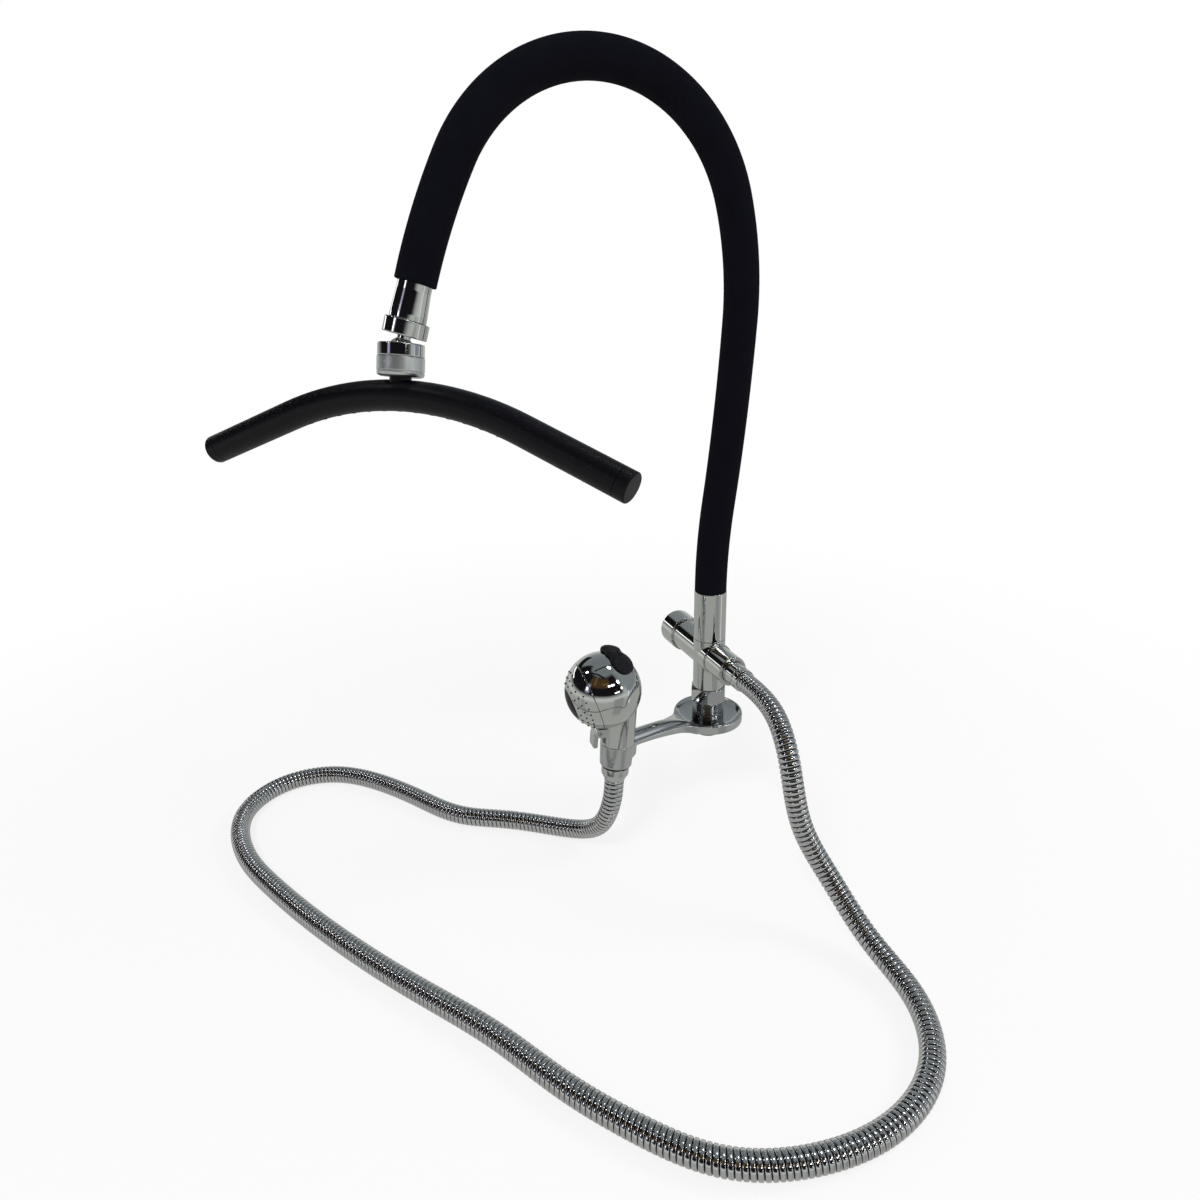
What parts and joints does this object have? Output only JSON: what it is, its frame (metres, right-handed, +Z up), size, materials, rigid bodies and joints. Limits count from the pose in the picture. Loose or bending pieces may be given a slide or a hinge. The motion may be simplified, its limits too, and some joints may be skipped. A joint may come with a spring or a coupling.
{
  "type": "pet bath sprayer set",
  "caption": "Screw-in pet-bath sprayer set: diverter tee with knob, foam-covered gooseneck with ball-jointed spray bar, ribbed hose and ball-headed handset in a ring holder.",
  "frame": {"origin": "on the inlet thread's axis, level with the underside of the flange", "axes": "+Z up along the inlet and the column, +Y from the column towards the diverter knob, -Y towards the hose outlet"},
  "size_m": [0.3725, 0.4446, 0.5046],
  "materials": {
    "chrome": "polished",
    "thread": "plated thread",
    "hose_chrome": "polished ribs",
    "satin_aluminium": "satin anodised",
    "foam": "matte closed-cell foam",
    "black_plastic": "satin moulded",
    "black_rubber": "fine grain",
    "rubber": "moulded",
    "brass": "machined",
    "steel": "machined",
    "liner": "smooth"
  },
  "bodies": {
    "base": {"holder_bracket": "chrome", "base_gasket": "rubber", "inlet_nipple": "thread", "swivel_nut": "chrome", "nut_washer": "rubber", "diverter_body": "chrome", "spindle_gland": "brass", "spindle_o_ring": "rubber", "outlet_collar": "chrome", "outlet_washer": "rubber", "hose_ferrule": "chrome", "hose": "hose_chrome", "sleeve_o_ring": "rubber"},
    "knob": {"diverter_spindle": "brass", "diverter_knob": "chrome", "knob_screw": "steel", "knob_cap": "chrome"},
    "gooseneck": {"gooseneck_sleeve": "chrome", "sleeve_screw": "steel", "gooseneck_core": "steel", "gooseneck_cover": "foam", "end_fitting": "chrome", "joint_ring": "chrome", "ball_stem": "chrome"},
    "lower_liner": {"ball_seat": "liner"},
    "upper_liner": {"ball_seal": "liner"},
    "bar": {"ring_nut": "chrome", "joint_cup": "satin_aluminium", "bar_neck": "black_plastic", "spray_bar": "black_plastic", "bar_cap_left": "black_plastic", "bar_cap_right": "black_plastic", "bar_nozzles": "rubber"},
    "hose_end": {"hose_tail": "brass"},
    "handset": {"handset_shell": "chrome", "spray_face": "chrome", "face_seal": "rubber", "nozzle_disc": "black_plastic", "face_nozzles": "rubber", "cone_nut": "chrome", "cone_washer": "rubber", "hose_washer": "rubber", "lever_pin": "steel"},
    "slider": {"thumb_slider": "black_rubber", "slider_carrier": "steel"},
    "lever": {"pause_lever": "chrome"}
  },
  "joints": [
    {"name": "diverter_turn", "type": "hinge", "parent": "base", "child": "knob", "pos_m": [0, 0.04, 0.0535], "axis": [0, 1, 0], "range_deg": [0, 90]},
    {"name": "gooseneck_swivel", "type": "hinge", "parent": "base", "child": "gooseneck", "pos_m": [0, 0, 0.075], "axis": [0, 0, 1], "range_deg": [-90, 90]},
    {"name": "bar_tilt", "type": "hinge", "parent": "gooseneck", "child": "lower_liner", "pos_m": [-0.19764, -0.01903, 0.277], "axis": [-0.5254, -0.8255, 0.2062], "range_deg": [-28, 5]},
    {"name": "bar_roll", "type": "hinge", "parent": "lower_liner", "child": "upper_liner", "pos_m": [-0.19764, -0.01903, 0.277], "axis": [0.8363, -0.5457, -0.0537], "range_deg": [-9, 9]},
    {"name": "bar_spin", "type": "hinge", "parent": "upper_liner", "child": "bar", "pos_m": [-0.19764, -0.01903, 0.277], "axis": [0.1568, 0.1442, 0.977], "continuous": true},
    {"name": "handset_lift", "type": "slide", "parent": "base", "child": "hose_end", "axis": [0.1145, 0.0417, 0.9925], "range_m": [0, 0.06]},
    {"name": "handset_turn", "type": "hinge", "parent": "hose_end", "child": "handset", "pos_m": [-0.08645, -0.03147, 0.01], "axis": [0.1145, 0.0417, 0.9925], "range_deg": [-60, 60]},
    {"name": "thumb_slide", "type": "hinge", "parent": "handset", "child": "slider", "pos_m": [-0.09344, -0.02839, 0.05803], "axis": [-0.8, 0.0983, 0.5919], "range_deg": [-12, 12]},
    {"name": "lever_press", "type": "hinge", "parent": "handset", "child": "lever", "pos_m": [-0.09864, -0.0294, 0.02996], "axis": [-0.0842, -0.9951, 0.0515], "range_deg": [0, 6], "stiffness_Nm_per_rad": 0.1}
  ]
}
